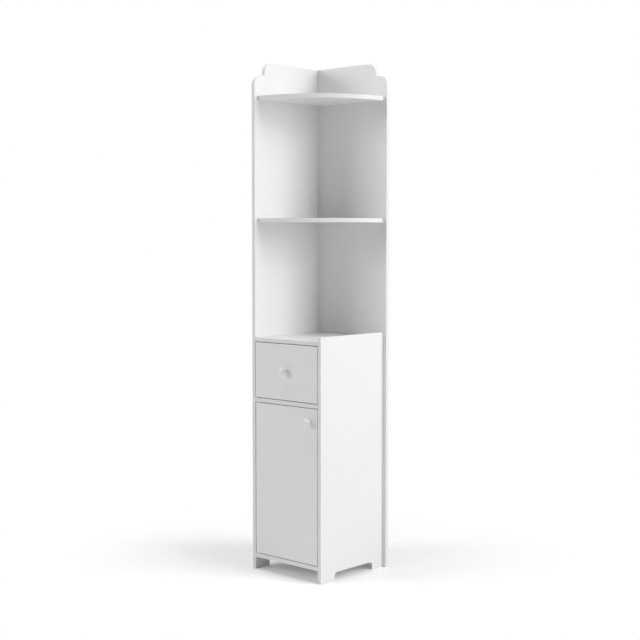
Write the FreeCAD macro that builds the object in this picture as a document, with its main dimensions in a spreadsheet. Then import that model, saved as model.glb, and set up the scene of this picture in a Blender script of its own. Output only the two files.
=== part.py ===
import FreeCAD, Part
import os
import re

import Sketcher

# A white corner bathroom cabinet, in millimetres. The origin is the room corner at floor level.
# The left panel stands on the wall at x = 0, the rear panel on the wall at y = 0, z points up,
# and the drawer and door face -Y.

SIZES = {
    # Boards and tall panels
    "board": 12.7,
    "wing": 300,
    "total_height": 1570,
    "edge_ease": 0.6,
    # Stepped round head of the tall panels
    "lobe_radius": 32,
    "lobe_ledge": 8,
    "lobe_fillet": 4,
    "lobe_rise": 4,
    # Feet cut out of the panels
    "foot_length": 62,
    "foot_height": 24,
    "foot_radius": 11,
    # Closed box
    "rear_overlap": 12.7,
    "side_lip": 12.7,
    "bottom_z": 38,
    "door_opening": 474.3,
    "drawer_opening": 174.3,
    # Quarter-round shelves
    "lower_bay": 354.3,
    "guard_height": 104,
    "shelf_setback": 12.7,
    # Board screws, driven in from the wall faces
    "screw_inset": 50,
    "screw_end_inset": 110,
    "screw_length": 40,
    "screw_radius": 2,
    "screw_head_radius": 3.5,
    "screw_head_height": 3,
    "screw_sink": 0.3,
    "fit": 0.05,
    # Cam fittings and dowels at the right side panel
    "cam_inset": 24,
    "cam_radius": 6,
    "cam_height": 9.3,
    "cam_bolt_radius": 2.6,
    "cam_neck_radius": 1.8,
    "cam_thread_radius": 2.5,
    "cam_thread_length": 9,
    "cam_head_length": 3,
    "cam_cavity": 2,
    "cam_clearance": 0.2,
    "dowel_spacing": 35,
    "dowel_radius": 3,
    "dowel_in_panel": 8,
    "dowel_in_board": 14,
    # Drawer
    "front_gap": 2,
    "drawer_board": 12,
    "drawer_side_gap": 4,
    "drawer_headroom": 39.3,
    "drawer_rise": 15,
    "drawer_back_gap": 20,
    "drawer_bottom_rise": 8,
    "drawer_bottom_thickness": 3,
    "drawer_groove_depth": 5,
    "drawer_screw_length": 30,
    "drawer_screw_inset": 22,
    # Drawer runners
    "runner_height": 16,
    "runner_back_gap": 30,
    "runner_rise": 62,
    "runner_setback": 10,
    "runner_groove_depth": 6,
    "runner_slack": 1,
    "runner_clearance": 0.3,
    "runner_screw_length": 14,
    "runner_screw_radius": 1.75,
    "runner_screw_head_radius": 3.2,
    "runner_screw_head_height": 2.5,
    "runner_screw_inset": 40,
    # Knobs
    "knob_projection": 23,
    "knob_head_radius": 11.5,
    "knob_rim": 3,
    "knob_dome": 5,
    "knob_flare": 4,
    "knob_neck_radius": 5,
    "knob_base_radius": 8,
    "knob_base_height": 2,
    "knob_rounding": 1.2,
    "knob_bolt_radius": 2,
    "knob_bolt_reach": 12,
    "knob_bolt_head_radius": 4,
    "knob_bolt_head_height": 2.8,
    "drawer_knob_rise": 4,
    "door_knob_inset": 30,
    "door_knob_drop": 39,
    # Door pivots
    "door_round": 3,
    "pin_radius": 2.5,
    "pin_in_door": 20,
    "bush_depth": 10,
    "bush_radius": 4,
    "bush_flange_radius": 6.5,
    # Magnetic catch
    "catch_inset": 60,
    "catch_length": 46,
    "catch_depth": 15,
    "catch_height": 13,
    "magnet_length": 28,
    "magnet_depth": 10,
    "magnet_thickness": 3.2,
    "pole_thickness": 1.2,
    "catch_screw_spacing": 36,
    "catch_screw_radius": 1.6,
    "catch_screw_head_radius": 3,
    "catch_screw_head_height": 2,
    "catch_screw_bite": 8,
    "strike_thickness": 1,
    "strike_pin_radius": 2,
    "strike_pin_length": 8,
}

doc = FreeCAD.newDocument("CornerCabinet")
sheet = doc.addObject("Spreadsheet::Sheet", "Sizes")
for row, (alias, size) in enumerate(SIZES.items(), start=1):
    sheet.set(f"A{row}", alias)
    sheet.set(f"B{row}", str(size))
    sheet.setAlias(f"B{row}", alias)
doc.recompute()

# Planes and levels that several pieces share, written in the names of the sizes
FRONT = "(-wing)"
FRONT_BACK = "(board - wing)"
REAR_FACE = "(-board)"
SIDE_INNER = "(wing - rear_overlap - board)"
SHELF_REACH = "(wing - shelf_setback)"

BOTTOM_TOP = "(bottom_z + board)"
DIVIDER_Z = f"({BOTTOM_TOP} + door_opening)"
DIVIDER_TOP = f"({DIVIDER_Z} + board)"
TOP_Z = f"({DIVIDER_TOP} + drawer_opening)"
SIDE_TOP = f"({TOP_Z} + board + side_lip)"
MIDDLE_SHELF_Z = f"({TOP_Z} + board + lower_bay)"
UPPER_SHELF_Z = "(total_height - guard_height - board)"
BOX_LEVELS = {"bottom_board": "bottom_z", "divider_board": DIVIDER_Z, "cabinet_top": TOP_Z}
SHELF_LEVELS = {"middle_shelf": MIDDLE_SHELF_Z, "upper_shelf": UPPER_SHELF_Z}

FRONT_LEFT = "(board + front_gap)"
FRONT_RIGHT = f"({SIDE_INNER} - front_gap)"
FRONT_MIDDLE = f"(({FRONT_LEFT} + {FRONT_RIGHT}) / 2)"
DRAWER_FRONT_LOW = f"({DIVIDER_TOP} + front_gap)"
DRAWER_FRONT_HIGH = f"({TOP_Z} - front_gap)"
DOOR_LOW = f"({BOTTOM_TOP} + front_gap)"
DOOR_HIGH = f"({DIVIDER_Z} - front_gap)"


def ref(text):
    """Point each size's name in a formula at its cell of the sheet."""
    def cell(match):
        word = match.group()
        return f"Sizes.{word}" if word in SIZES else word
    return re.sub(r"[a-z_]+", cell, text)


def value(text):
    """Work a formula out with the sheet's present numbers."""
    return float(sheet.evalExpression(ref(text)))


def bind(item, **formulas):
    """Bind properties of a document object to formulas of the sheet's sizes."""
    for name, text in formulas.items():
        item.setExpression(name, ref(text))


def place(item, x, y, z):
    """Bind the position of a document object."""
    for axis, text in zip("xyz", (x, y, z)):
        item.setExpression(f"Placement.Base.{axis}", ref(text))


# Sketched pieces

PLANES = {"X": ("YZ_Plane", ""), "Y": ("XZ_Plane", "-"), "Z": ("XY_Plane", "")}
PAD_DIRECTIONS = ("+X", "-Y", "+Z")


def new_body(label):
    body = doc.addObject("PartDesign::Body", label)
    body.Label = label
    return body


def new_sketch(body, axis, at="0"):
    """A sketch square to an axis, at a place along it."""
    role, sign = PLANES[axis]
    sketch = body.newObject("Sketcher::SketchObject", f"{body.Label}_sketch")
    plane = next(item for item in body.Origin.OriginFeatures if item.Role == role)
    sketch.AttachmentSupport = [(plane, "")]
    sketch.MapMode = "FlatFace"
    sketch.setExpression("AttachmentOffset.Base.z", ref(f"{sign}({at})"))
    return sketch


def bind_constraint(sketch, constraint, text):
    index = sketch.addConstraint(constraint)
    name = f"{constraint.Type}{index}"
    sketch.renameConstraint(index, name)
    sketch.setExpression(f"Constraints.{name}", ref(text))


def pin_point(sketch, curve, end, x, y):
    """Hold one end (1 or 2) or the centre (3) of a curve at a place in the sketch."""
    for kind, text in (("DistanceX", x), ("DistanceY", y)):
        bind_constraint(sketch, Sketcher.Constraint(kind, -1, 1, curve, end, value(text)), text)


def arc_top(start, stop, radius, corner):
    """The middle of a round stretch, on the side of the sharp corner that it replaces."""
    chord = stop - start
    middle_point = (start + stop) * 0.5
    across = FreeCAD.Vector(-chord.y, chord.x, 0).normalize()
    if across.dot(corner - middle_point) < 0:
        across = across * -1
    half_squared = (chord.Length / 2) ** 2
    sagitta = radius - max(radius ** 2 - half_squared, 0) ** 0.5
    return middle_point + across * sagitta


def add_outline(sketch, corners):
    """A closed outline through corners (x, y). A corner may also hold the radius of a round stretch
    that leads to the next corner, and the sharp corner that the round stretch replaces."""
    ends = []
    for corner, following in zip(corners, corners[1:] + corners[:1]):
        start = FreeCAD.Vector(value(corner[0]), value(corner[1]), 0)
        stop = FreeCAD.Vector(value(following[0]), value(following[1]), 0)
        if len(corner) == 2:
            curve = sketch.addGeometry(Part.LineSegment(start, stop))
            ends.append((curve, 1, 2))
            continue
        radius, sharp_x, sharp_y = corner[2:]
        sharp = FreeCAD.Vector(value(sharp_x), value(sharp_y), 0)
        top = arc_top(start, stop, value(radius), sharp)
        turns_left = (top - start).cross(stop - top).z > 0
        curve = sketch.addGeometry(Part.Arc(start, top, stop))
        ends.append((curve, 1, 2) if turns_left else (curve, 2, 1))
        bind_constraint(sketch, Sketcher.Constraint("Radius", curve, value(radius)), radius)
    for index, (curve, first, last) in enumerate(ends):
        next_curve, next_first, _ = ends[(index + 1) % len(ends)]
        sketch.addConstraint(Sketcher.Constraint("Coincident", curve, last, next_curve, next_first))
        pin_point(sketch, curve, first, corners[index][0], corners[index][1])


def add_circle(sketch, x, y, radius):
    centre = FreeCAD.Vector(value(x), value(y), 0)
    circle = Part.Circle(centre, FreeCAD.Vector(0, 0, 1), value(radius))
    curve = sketch.addGeometry(circle)
    pin_point(sketch, curve, 3, x, y)
    bind_constraint(sketch, Sketcher.Constraint("Radius", curve, value(radius)), radius)


def rectangle(x_low, y_low, x_high, y_high):
    return [(x_low, y_low), (x_high, y_low), (x_high, y_high), (x_low, y_high)]


def pad(body, sketch, length, direction):
    feature = body.newObject("PartDesign::Pad", f"{body.Label}_pad")
    feature.Profile = sketch
    feature.Reversed = direction not in PAD_DIRECTIONS
    bind(feature, Length=length)
    doc.recompute()


def pocket(body, sketch, depth, direction):
    """Cut a sketch into its body, and make sure that it cuts something."""
    before = body.Shape.Volume
    feature = body.newObject("PartDesign::Pocket", f"{body.Label}_pocket")
    feature.Profile = sketch
    feature.Reversed = direction in PAD_DIRECTIONS
    bind(feature, Length=depth)
    doc.recompute()
    if not body.Shape.Volume < before:
        raise ValueError(f"a pocket of {body.Label} cuts nothing")


def slab(label, axis, at, corners, thickness, direction):
    """A board sawn to an outline."""
    body = new_body(label)
    sketch = new_sketch(body, axis, at)
    add_outline(sketch, corners)
    pad(body, sketch, thickness, direction)
    return body


def drill(body, direction, at, centres, radius, depth):
    """Round holes of one size, all starting on one plane."""
    sketch = new_sketch(body, direction[1], at)
    for x, y in centres:
        add_circle(sketch, x, y, radius)
    pocket(body, sketch, depth, direction)


# Spans and distances under this count as none
TOUCH = 0.001


def lies_at(low, high, text):
    """Whether a span of a bounding box lies wholly on one plane."""
    level = value(text)
    return abs(low - level) < TOUCH and abs(high - level) < TOUCH


def ease_edges(body, chosen, radius="edge_ease"):
    """Round the edges of a body whose bounding boxes pass a test."""
    names = []
    for index, edge in enumerate(body.Shape.Edges, start=1):
        if chosen(edge.BoundBox):
            names.append(f"Edge{index}")
    sharp = body.Tip
    fillet = body.newObject("PartDesign::Fillet", f"{body.Label}_easing")
    fillet.Base = (sharp, names)
    bind(fillet, Radius=radius)
    doc.recompute()


# Turned and boxed hardware

TURNS = {
    "+X": FreeCAD.Rotation(FreeCAD.Vector(0, 1, 0), 90),
    "-X": FreeCAD.Rotation(FreeCAD.Vector(0, 1, 0), -90),
    "+Y": FreeCAD.Rotation(FreeCAD.Vector(1, 0, 0), -90),
    "-Y": FreeCAD.Rotation(FreeCAD.Vector(1, 0, 0), 90),
    "+Z": FreeCAD.Rotation(),
    "-Z": FreeCAD.Rotation(FreeCAD.Vector(1, 0, 0), 180),
}


def rod(direction, start, radius, length):
    """A cylinder from a point along an axis."""
    cylinder = doc.addObject("Part::Cylinder", "rod")
    cylinder.Placement = FreeCAD.Placement(FreeCAD.Vector(), TURNS[direction])
    place(cylinder, *start)
    bind(cylinder, Radius=radius, Height=length)
    return cylinder


def block(low, high):
    """A box between two corners."""
    box = doc.addObject("Part::Box", "block")
    place(box, *low)
    lengths = [f"({top}) - ({bottom})" for bottom, top in zip(low, high)]
    bind(box, Length=lengths[0], Width=lengths[1], Height=lengths[2])
    return box


def fuse(label, pieces):
    joined = doc.addObject("Part::MultiFuse", label)
    joined.Shapes = pieces
    joined.Label = label
    return joined


def cut(label, base, tool):
    trimmed = doc.addObject("Part::Cut", label)
    trimmed.Base = base
    trimmed.Tool = tool
    trimmed.Label = label
    return trimmed


def group(label, pieces):
    """Like pieces that share one node."""
    compound = doc.addObject("Part::Compound", label)
    compound.Links = pieces
    compound.Label = label
    return compound


def shift(start, direction, distance):
    """A point moved along an axis."""
    moved = list(start)
    axis = "XYZ".index(direction[1])
    moved[axis] = f"({moved[axis]} {direction[0]} ({distance}))"
    return tuple(moved)


def screw(direction, start, head_radius, head_height, radius, length):
    """A screw that is driven in along a direction, starting at the top of its head."""
    head = rod(direction, start, head_radius, head_height)
    shank_start = shift(start, direction, head_height)
    shank = rod(direction, shank_start, radius, f"{length} - {head_height}")
    return fuse("screw", [head, shank])


nodes = []

# Tall panels and right side panel: one board outline with two feet, and a stepped head where it
# stands full height. Distances along the wall grow from the room corner.

LEDGE_DROP = "(lobe_radius + lobe_rise + lobe_fillet)"
LEDGE_Z = f"(total_height - {LEDGE_DROP})"
STEP_IN = "(lobe_radius + lobe_ledge + lobe_fillet)"


def feet_outline(along, near, far):
    """The lower edge of a panel, from the foot near the corner to the foot at the free end."""
    arch_near = "(foot_length)"
    arch_far = f"({far} - foot_length)"
    spring = "(foot_height - foot_radius)"
    near_crown = along(f"({arch_near} + foot_radius)")
    far_crown = along(f"({arch_far} - foot_radius)")
    return [
        (along(near), "0"),
        (along(arch_near), "0"),
        (along(arch_near), spring, "foot_radius", along(arch_near), "foot_height"),
        (near_crown, "foot_height"),
        (far_crown, "foot_height", "foot_radius", along(arch_far), "foot_height"),
        (along(arch_far), spring),
        (along(arch_far), "0"),
        (along(far), "0"),
    ]


def head_outline(along, near):
    """The free upper corner of a tall panel: two round lobes with a ledge between them."""
    shoulder = along("(wing - lobe_radius)")
    ledge_end = along(f"(wing - {STEP_IN} + lobe_fillet)")
    riser = along(f"(wing - {STEP_IN})")
    crown = along(f"(wing - {STEP_IN} - lobe_radius)")
    shoulder_z = f"({LEDGE_Z} - lobe_radius)"
    fillet_z = f"({LEDGE_Z} + lobe_fillet)"
    crown_z = "(total_height - lobe_radius)"
    return [
        (along("wing"), shoulder_z, "lobe_radius", along("wing"), LEDGE_Z),
        (shoulder, LEDGE_Z),
        (ledge_end, LEDGE_Z, "lobe_fillet", riser, LEDGE_Z),
        (riser, fillet_z),
        (riser, crown_z, "lobe_radius", riser, "total_height"),
        (crown, "total_height"),
        (along(near), "total_height"),
    ]


def along_left_wall(distance):
    return f"(-{distance})"


def along_rear_wall(distance):
    return f"({distance})"


def is_free(low, high, joint, box):
    """Whether an edge lies neither on the joint with the next panel nor on the floor."""
    return not lies_at(low, high, joint) and not lies_at(box.ZMin, box.ZMax, "0")


left_outline = feet_outline(along_left_wall, "0", "wing") + head_outline(along_left_wall, "0")
left_panel = slab("left_side_panel", "X", "0", left_outline, "board", "+X")
ease_edges(left_panel, lambda box: box.XLength < TOUCH and is_free(box.YMin, box.YMax, "0", box))

rear_outline = feet_outline(along_rear_wall, "board", "wing") + head_outline(along_rear_wall, "board")
rear_panel = slab("rear_panel", "Y", "0", rear_outline, "board", "-Y")
ease_edges(
    rear_panel,
    lambda box: box.YLength < TOUCH and is_free(box.XMin, box.XMax, "board", box),
)

side_outline = feet_outline(along_left_wall, "board", "wing")
side_outline += [(FRONT, SIDE_TOP), (REAR_FACE, SIDE_TOP)]
side_panel = slab("right_side_panel", "X", SIDE_INNER, side_outline, "board", "+X")
ease_edges(
    side_panel,
    lambda box: box.XLength < TOUCH and is_free(box.YMin, box.YMax, REAR_FACE, box),
)

nodes += [left_panel, rear_panel, side_panel]

# Board screws from the two wall faces. Each takes a counterbored hole in the panel and a blind
# hole in the board behind it.


def middle(level):
    return f"({level} + board / 2)"


def spread(low, high, count):
    """Places spaced evenly from one formula to another."""
    return [f"({low} + ({high} - {low}) * {step} / {count - 1})" for step in range(count)]


NEAR_ROW = "(board + screw_inset)"
BOX_ROW_FRONT = "(screw_inset - wing)"
BOX_ROW_RIGHT = f"({SIDE_INNER} - screw_inset)"
SHELF_ROW_FAR = f"({SHELF_REACH} - screw_inset)"
CORNER_LEVELS = spread("screw_end_inset", "(total_height - screw_end_inset)", 5)
SIDE_LEVELS = spread("screw_end_inset", f"({SIDE_TOP} - screw_end_inset)", 3)
SCREW_SEAT = "(screw_head_height + screw_sink)"
SCREW_HOLE_DEPTH = "(screw_length + 2 * screw_sink - board)"

box_left_screws = {
    name: [(f"(-{NEAR_ROW})", middle(level)), (BOX_ROW_FRONT, middle(level))]
    for name, level in BOX_LEVELS.items()
}
box_rear_screws = {
    name: [(NEAR_ROW, middle(level)), (BOX_ROW_RIGHT, middle(level))]
    for name, level in BOX_LEVELS.items()
}
shelf_left_screws = {
    name: [(f"(-{NEAR_ROW})", middle(level)), (f"(-{SHELF_ROW_FAR})", middle(level))]
    for name, level in SHELF_LEVELS.items()
}
shelf_rear_screws = {
    name: [(NEAR_ROW, middle(level)), (SHELF_ROW_FAR, middle(level))]
    for name, level in SHELF_LEVELS.items()
}
corner_screws = [("(-board / 2)", level) for level in CORNER_LEVELS]
side_screws = [(f"({SIDE_INNER} + board / 2)", level) for level in SIDE_LEVELS]

left_screw_centres = corner_screws + sum(box_left_screws.values(), [])
left_screw_centres += sum(shelf_left_screws.values(), [])
rear_screw_centres = side_screws + sum(box_rear_screws.values(), [])
rear_screw_centres += sum(shelf_rear_screws.values(), [])


def bore_for_screws(panel, direction, centres):
    """Counterbored holes through a panel, from its wall face."""
    drill(panel, direction, "0", centres, "screw_radius + fit", "board")
    drill(panel, direction, "0", centres, "screw_head_radius + fit", SCREW_SEAT)


def board_screw(direction, start):
    head_top = shift(start, direction, "screw_sink")
    return screw(
        direction, head_top, "screw_head_radius", "screw_head_height", "screw_radius", "screw_length"
    )


bore_for_screws(left_panel, "+X", left_screw_centres)
bore_for_screws(rear_panel, "-Y", rear_screw_centres)
drill(rear_panel, "+X", "board", corner_screws, "screw_radius + fit", SCREW_HOLE_DEPTH)
drill(side_panel, "-Y", REAR_FACE, side_screws, "screw_radius + fit", SCREW_HOLE_DEPTH)

left_screws = [board_screw("+X", ("0", y, z)) for y, z in left_screw_centres]
rear_screws = [board_screw("-Y", (x, "0", z)) for x, z in rear_screw_centres]
nodes.append(group("left_panel_screws", left_screws))
nodes.append(group("rear_panel_screws", rear_screws))

# Boards of the closed box. Their right ends are drawn up to the side panel by cam fittings, with
# dowels beside them, so that the side panel's outer face stays clean.

CAM_ROWS = [f"(-{NEAR_ROW})", BOX_ROW_FRONT]
DOWEL_ROWS = [f"(-{NEAR_ROW} - dowel_spacing)", f"({BOX_ROW_FRONT} + dowel_spacing)"]
CAM_X = f"({SIDE_INNER} - cam_inset)"
CAM_BORE = "(cam_bolt_radius + cam_clearance)"

cam_bolts = []
cam_discs = []
dowels = []
box_boards = {}
for name, level in BOX_LEVELS.items():
    corners = rectangle("board", FRONT, SIDE_INNER, REAR_FACE)
    shelf_board = slab(name, "Z", level, corners, "board", "+Z")
    ease_edges(shelf_board, lambda box: lies_at(box.YMin, box.YMax, FRONT) and box.XLength > TOUCH)
    drill(shelf_board, "+X", "board", box_left_screws[name], "screw_radius + fit", SCREW_HOLE_DEPTH)
    drill(shelf_board, "-Y", REAR_FACE, box_rear_screws[name], "screw_radius + fit", SCREW_HOLE_DEPTH)

    bolt_centres = [(y, middle(level)) for y in CAM_ROWS]
    dowel_centres = [(y, middle(level)) for y in DOWEL_ROWS]
    disc_centres = [(CAM_X, y) for y in CAM_ROWS]
    drill(shelf_board, "-X", SIDE_INNER, bolt_centres, CAM_BORE, "cam_inset")
    drill(shelf_board, "-X", SIDE_INNER, dowel_centres, "dowel_radius + fit", "dowel_in_board + fit")
    drill(shelf_board, "+Z", level, disc_centres, "cam_radius + fit", "cam_height + cam_clearance")
    drill(side_panel, "+X", SIDE_INNER, bolt_centres, "cam_thread_radius + fit", "cam_thread_length")
    drill(side_panel, "+X", SIDE_INNER, dowel_centres, "dowel_radius + fit", "dowel_in_panel + fit")

    for y, z in bolt_centres:
        thread = rod("+X", (SIDE_INNER, y, z), "cam_thread_radius", "cam_thread_length")
        neck = rod("-X", (SIDE_INNER, y, z), "cam_neck_radius", "cam_inset")
        head = rod("+X", (CAM_X, y, z), "cam_bolt_radius", "cam_head_length")
        cam_bolts.append(fuse("cam_bolt", [thread, neck, head]))
        disc = rod("+Z", (CAM_X, y, level), "cam_radius", "cam_height")
        cavity_start = (f"({CAM_X} - cam_cavity)", y, z)
        cavity = rod("+X", cavity_start, CAM_BORE, "2 * cam_radius")
        cam_discs.append(cut("cam_disc", disc, cavity))
    for y, z in dowel_centres:
        dowel_start = (f"({SIDE_INNER} - dowel_in_board)", y, z)
        dowels.append(rod("+X", dowel_start, "dowel_radius", "dowel_in_board + dowel_in_panel"))
    box_boards[name] = shelf_board

nodes += box_boards.values()
nodes.append(group("cam_bolts", cam_bolts))
nodes.append(group("cam_discs", cam_discs))
nodes.append(group("carcass_dowels", dowels))

# Quarter-round shelves, a little short of the tall panels' free edges

for name, level in SHELF_LEVELS.items():
    corners = [
        ("board", REAR_FACE),
        ("board", f"(-{SHELF_REACH})", f"({SHELF_REACH} - board)", SHELF_REACH, f"(-{SHELF_REACH})"),
        (SHELF_REACH, REAR_FACE),
    ]
    shelf = slab(name, "Z", level, corners, "board", "+Z")
    ease_edges(shelf, lambda box: box.ZLength < TOUCH < min(box.XLength, box.YLength))
    drill(shelf, "+X", "board", shelf_left_screws[name], "screw_radius + fit", SCREW_HOLE_DEPTH)
    drill(shelf, "-Y", REAR_FACE, shelf_rear_screws[name], "screw_radius + fit", SCREW_HOLE_DEPTH)
    nodes.append(shelf)

# Knobs: a turned mushroom on a short neck, held by a bolt from inside the front

HEAD_FRONT = "(knob_projection - knob_dome)"
HEAD_BACK = f"({HEAD_FRONT} - knob_rim)"
NECK_END = f"({HEAD_BACK} - knob_flare)"
DOME_RADIUS = "((knob_head_radius * knob_head_radius + knob_dome * knob_dome) / (2 * knob_dome))"


def knob(label, x, z):
    """A knob whose axis runs out of the front along -Y."""
    body = new_body(label)
    place(body, x, FRONT, z)
    sketch = new_sketch(body, "X")
    add_outline(sketch, [
        ("0", "0"),
        ("-knob_projection", "0", DOME_RADIUS, "-knob_projection", "knob_head_radius"),
        (f"-{HEAD_FRONT}", "knob_head_radius"),
        (f"-{HEAD_BACK}", "knob_head_radius"),
        (f"-{NECK_END}", "knob_neck_radius"),
        ("-knob_base_height", "knob_neck_radius"),
        ("-knob_base_height", "knob_base_radius"),
        ("0", "knob_base_radius"),
    ])
    turning = body.newObject("PartDesign::Revolution", f"{label}_turning")
    turning.Profile = sketch
    turning.ReferenceAxis = (sketch, ["H_Axis"])
    turning.Angle = 360
    doc.recompute()
    ease_edges(
        body,
        lambda box: box.YLength < TOUCH < box.XLength and not lies_at(box.YMin, box.YMax, FRONT),
        "knob_rounding",
    )
    drill(body, "-Y", "0", [("0", "0")], "knob_bolt_radius + fit", "knob_bolt_reach + fit")
    return body


def knob_bolt(label, x, z):
    """The bolt behind a knob: its head bears on the inner face of the front."""
    start = (x, f"({FRONT_BACK} + knob_bolt_head_height)", z)
    bolt = screw(
        "-Y",
        start,
        "knob_bolt_head_radius",
        "knob_bolt_head_height",
        "knob_bolt_radius",
        "(knob_bolt_head_height + board + knob_bolt_reach)",
    )
    bolt.Label = label
    return bolt


# Drawer: front, two grooved sides, a back between them and a thin bottom held in grooves

DRAWER_X_LEFT = "(board + drawer_side_gap)"
DRAWER_X_RIGHT = f"({SIDE_INNER} - drawer_side_gap)"
DRAWER_REAR = f"({REAR_FACE} - drawer_back_gap)"
DRAWER_LOW = f"({DIVIDER_TOP} + drawer_rise)"
DRAWER_HIGH = f"({TOP_Z} - drawer_headroom)"
DRAWER_BOTTOM_Z = f"({DRAWER_LOW} + drawer_bottom_rise)"
DRAWER_BOTTOM_TOP = f"({DRAWER_BOTTOM_Z} + drawer_bottom_thickness)"
GROOVE_TOP = f"({DRAWER_BOTTOM_TOP} + 2 * fit)"
INNER_LEFT = f"({DRAWER_X_LEFT} + drawer_board)"
INNER_RIGHT = f"({DRAWER_X_RIGHT} - drawer_board)"
BOTTOM_LEFT = f"({INNER_LEFT} - drawer_groove_depth)"
BOTTOM_RIGHT = f"({INNER_RIGHT} + drawer_groove_depth)"
BOTTOM_FRONT = f"({FRONT_BACK} - drawer_groove_depth)"

RUNNER_Z = f"({DIVIDER_TOP} + runner_rise)"
RUNNER_FRONT = f"({FRONT_BACK} + runner_setback)"
RUNNER_REAR = f"({REAR_FACE} - runner_back_gap)"
RUNNER_NOSE = f"({RUNNER_FRONT} + runner_height / 2)"
RUNNER_DEPTH = "(drawer_side_gap + runner_groove_depth - runner_slack)"
GROOVE_HALF = "(runner_height / 2 + runner_clearance)"

DRAWER_KNOB_Z = f"(({DRAWER_FRONT_LOW} + {DRAWER_FRONT_HIGH}) / 2 + drawer_knob_rise)"
DRAWER_DOWEL_LEVELS = [f"({DRAWER_LOW} + drawer_screw_inset)", f"({DRAWER_HIGH} - drawer_screw_inset)"]
DRAWER_DOWEL_BITE = "(board / 2)"

drawer_front = slab(
    "drawer_front",
    "Y",
    FRONT_BACK,
    rectangle(FRONT_LEFT, DRAWER_FRONT_LOW, FRONT_RIGHT, DRAWER_FRONT_HIGH),
    "board",
    "-Y",
)
ease_edges(drawer_front, lambda box: lies_at(box.YMin, box.YMax, FRONT))
groove = new_sketch(drawer_front, "Y", FRONT_BACK)
add_outline(groove, rectangle(BOTTOM_LEFT, DRAWER_BOTTOM_Z, BOTTOM_RIGHT, GROOVE_TOP))
pocket(drawer_front, groove, "drawer_groove_depth", "-Y")
drill(drawer_front, "-Y", FRONT_BACK, [(FRONT_MIDDLE, DRAWER_KNOB_Z)], "knob_bolt_radius + fit", "board")
nodes.append(drawer_front)


def round_nosed(rear, half):
    """A strip along the runner's line with a half-round front end."""
    top = f"({RUNNER_Z} + {half})"
    underside = f"({RUNNER_Z} - {half})"
    tip = f"({RUNNER_NOSE} - {half})"
    return [
        (rear, underside),
        (rear, top),
        (RUNNER_NOSE, top, half, tip, top),
        (tip, RUNNER_Z, half, tip, underside),
        (RUNNER_NOSE, underside),
    ]


DRAWER_BACK_Y = f"({DRAWER_REAR} - drawer_board / 2)"
drawer_screw_levels = [
    f"({DRAWER_BOTTOM_TOP} + drawer_screw_inset)",
    f"({DRAWER_HIGH} - drawer_screw_inset)",
]
back_screw_centres = [(DRAWER_BACK_Y, level) for level in drawer_screw_levels]

drawer_dowels = []
back_screws = []
back_bores = []
for name, outer, inward, outward in (
    ("drawer_left_side", DRAWER_X_LEFT, "+X", "-X"),
    ("drawer_right_side", DRAWER_X_RIGHT, "-X", "+X"),
):
    inner = f"({outer} {inward[0]} drawer_board)"
    centre = f"({outer} {inward[0]} drawer_board / 2)"
    outline = rectangle(FRONT_BACK, DRAWER_LOW, DRAWER_REAR, DRAWER_HIGH)
    side = slab(name, "X", outer, outline, "drawer_board", inward)
    groove = new_sketch(side, "X", outer)
    add_outline(groove, round_nosed(DRAWER_REAR, GROOVE_HALF))
    pocket(side, groove, "runner_groove_depth", inward)
    groove = new_sketch(side, "X", inner)
    add_outline(groove, rectangle(FRONT_BACK, DRAWER_BOTTOM_Z, DRAWER_REAR, GROOVE_TOP))
    pocket(side, groove, "drawer_groove_depth", outward)
    drill(side, inward, outer, back_screw_centres, "screw_radius + fit", "drawer_board")
    drill(side, inward, outer, back_screw_centres, "screw_head_radius + fit", SCREW_SEAT)

    dowel_centres = [(centre, level) for level in DRAWER_DOWEL_LEVELS]
    drill(side, "+Y", FRONT_BACK, dowel_centres, "dowel_radius + fit", "dowel_in_board + fit")
    bite = f"{DRAWER_DOWEL_BITE} + fit"
    drill(drawer_front, "-Y", FRONT_BACK, dowel_centres, "dowel_radius + fit", bite)
    for x, z in dowel_centres:
        dowel_start = (x, f"({FRONT_BACK} - {DRAWER_DOWEL_BITE})", z)
        dowel_length = f"dowel_in_board + {DRAWER_DOWEL_BITE}"
        drawer_dowels.append(rod("+Y", dowel_start, "dowel_radius", dowel_length))
    for y, z in back_screw_centres:
        start = shift((outer, y, z), inward, "screw_sink")
        back_screws.append(screw(
            inward,
            start,
            "screw_head_radius",
            "screw_head_height",
            "screw_radius",
            "drawer_screw_length",
        ))
    back_bores.append((inward, inner))
    nodes.append(side)

drawer_back = slab(
    "drawer_back",
    "Y",
    DRAWER_REAR,
    rectangle(INNER_LEFT, DRAWER_BOTTOM_TOP, INNER_RIGHT, DRAWER_HIGH),
    "drawer_board",
    "-Y",
)
for inward, inner in back_bores:
    depth = "drawer_screw_length + 2 * screw_sink - drawer_board"
    drill(drawer_back, inward, inner, back_screw_centres, "screw_radius + fit", depth)
nodes.append(drawer_back)

drawer_bottom = slab(
    "drawer_bottom",
    "Z",
    DRAWER_BOTTOM_Z,
    rectangle(
        f"({BOTTOM_LEFT} + fit)",
        f"({BOTTOM_FRONT} + fit)",
        f"({BOTTOM_RIGHT} - fit)",
        DRAWER_REAR,
    ),
    "drawer_bottom_thickness",
    "+Z",
)
nodes.append(drawer_bottom)
nodes.append(group("drawer_dowels", drawer_dowels))
nodes.append(group("drawer_back_screws", back_screws))
nodes.append(knob("drawer_knob", FRONT_MIDDLE, DRAWER_KNOB_Z))
nodes.append(knob_bolt("drawer_knob_bolt", FRONT_MIDDLE, DRAWER_KNOB_Z))

# Runners: strips on the carcass that the drawer's grooves slide on. The round front end stops the
# closing drawer.

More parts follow.
